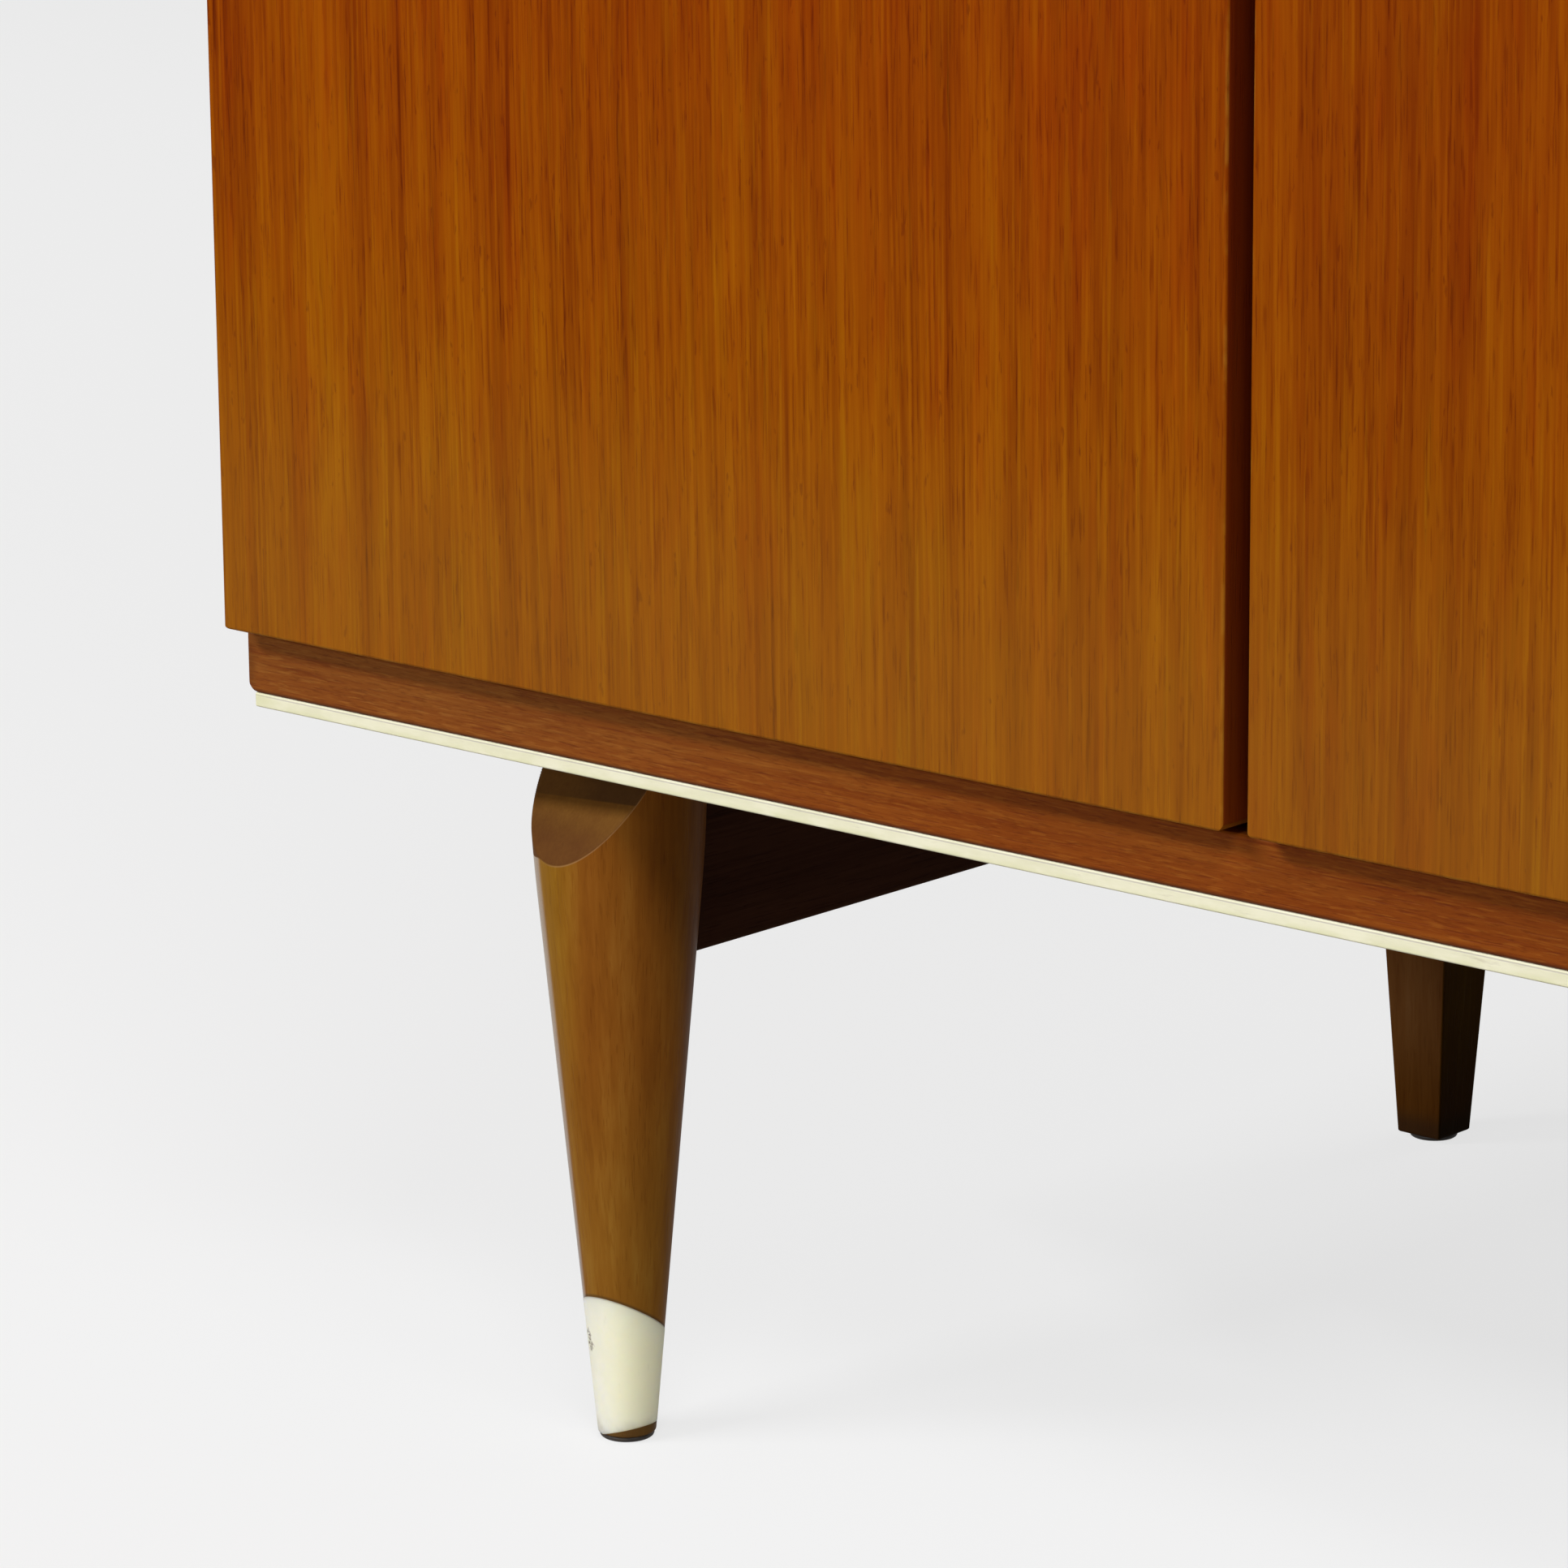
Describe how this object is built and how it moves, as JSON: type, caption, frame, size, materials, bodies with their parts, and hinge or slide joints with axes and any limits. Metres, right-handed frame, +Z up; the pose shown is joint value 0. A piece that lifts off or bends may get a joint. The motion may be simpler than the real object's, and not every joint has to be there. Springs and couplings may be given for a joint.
{
  "type": "wardrobe",
  "caption": "Tall teak wardrobe with overlay doors meeting at a finger gap, round tapered front legs in white socks, square rear legs, a hat shelf and a hanging rail.",
  "frame": {"origin": "on the floor, under the middle of the box round the closed wardrobe", "axes": "+Z up; -Y is the front, where the doors are; +X is to the right, seen from the front"},
  "size_m": [0.923, 0.572, 1.778],
  "materials": {
    "door_veneer": "straight-grained teak veneer, oiled, satin",
    "case_veneer": "teak veneer, oiled, satin",
    "rail_teak": "solid teak, oiled, satin",
    "inside_veneer": "light mahogany veneer, lacquered, satin",
    "plywood": "plywood, matt",
    "beech": "beech, bare",
    "leg_wood": "stained hardwood, lacquered, satin",
    "dark_wood": "hardwood stained nearly black, satin",
    "white_paint": "off-white painted hardwood, satin",
    "white_sock": "off-white plastic, worn satin",
    "brass": "polished brass, slightly dulled",
    "steel": "plated steel",
    "brown_plastic": "brown plastic",
    "dark_plastic": "dark brown plastic, worn"
  },
  "bodies": {
    "carcass": {"left_side_panel": "case_veneer", "right_side_panel": "case_veneer", "top_panel": "case_veneer", "bottom_panel": "inside_veneer", "back_panel": "plywood", "top_rail": "rail_teak", "bottom_rail": "rail_teak", "base_trim": "white_paint", "carcass_dowels": "beech", "hat_shelf": "inside_veneer", "shelf_cleats": "beech", "cleat_screws": "brass", "hanging_rail": "steel", "rail_sockets": "steel", "socket_screws": "steel", "left_case_leaves": "brass", "right_case_leaves": "brass", "left_hinge_pins": "brass", "right_hinge_pins": "brass", "case_leaf_screws": "brass", "catch_cases": "brown_plastic", "catch_screws": "brass", "front_left_leg": "leg_wood", "front_right_leg": "leg_wood", "rear_left_leg": "leg_wood", "rear_right_leg": "leg_wood", "left_sock": "white_sock", "right_sock": "white_sock", "leg_glides": "dark_plastic", "left_stretcher": "dark_wood", "right_stretcher": "dark_wood", "frame_cleats": "dark_wood", "frame_screws": "steel", "leg_bolts": "steel"},
    "left_door": {"left_door": "door_veneer", "left_door_leaves": "brass", "left_door_screws": "brass", "left_strike": "steel"},
    "right_door": {"right_door": "door_veneer", "right_door_leaves": "brass", "right_door_screws": "brass", "right_strike": "steel"}
  },
  "joints": [
    {"name": "left_door_hinge", "type": "hinge", "parent": "carcass", "child": "left_door", "pos_m": [-0.4585, -0.266, 1.0179], "axis": [0, 0, -1], "range_deg": [0, 180]},
    {"name": "right_door_hinge", "type": "hinge", "parent": "carcass", "child": "right_door", "pos_m": [0.4585, -0.266, 1.0179], "axis": [0, 0, 1], "range_deg": [0, 180]}
  ]
}
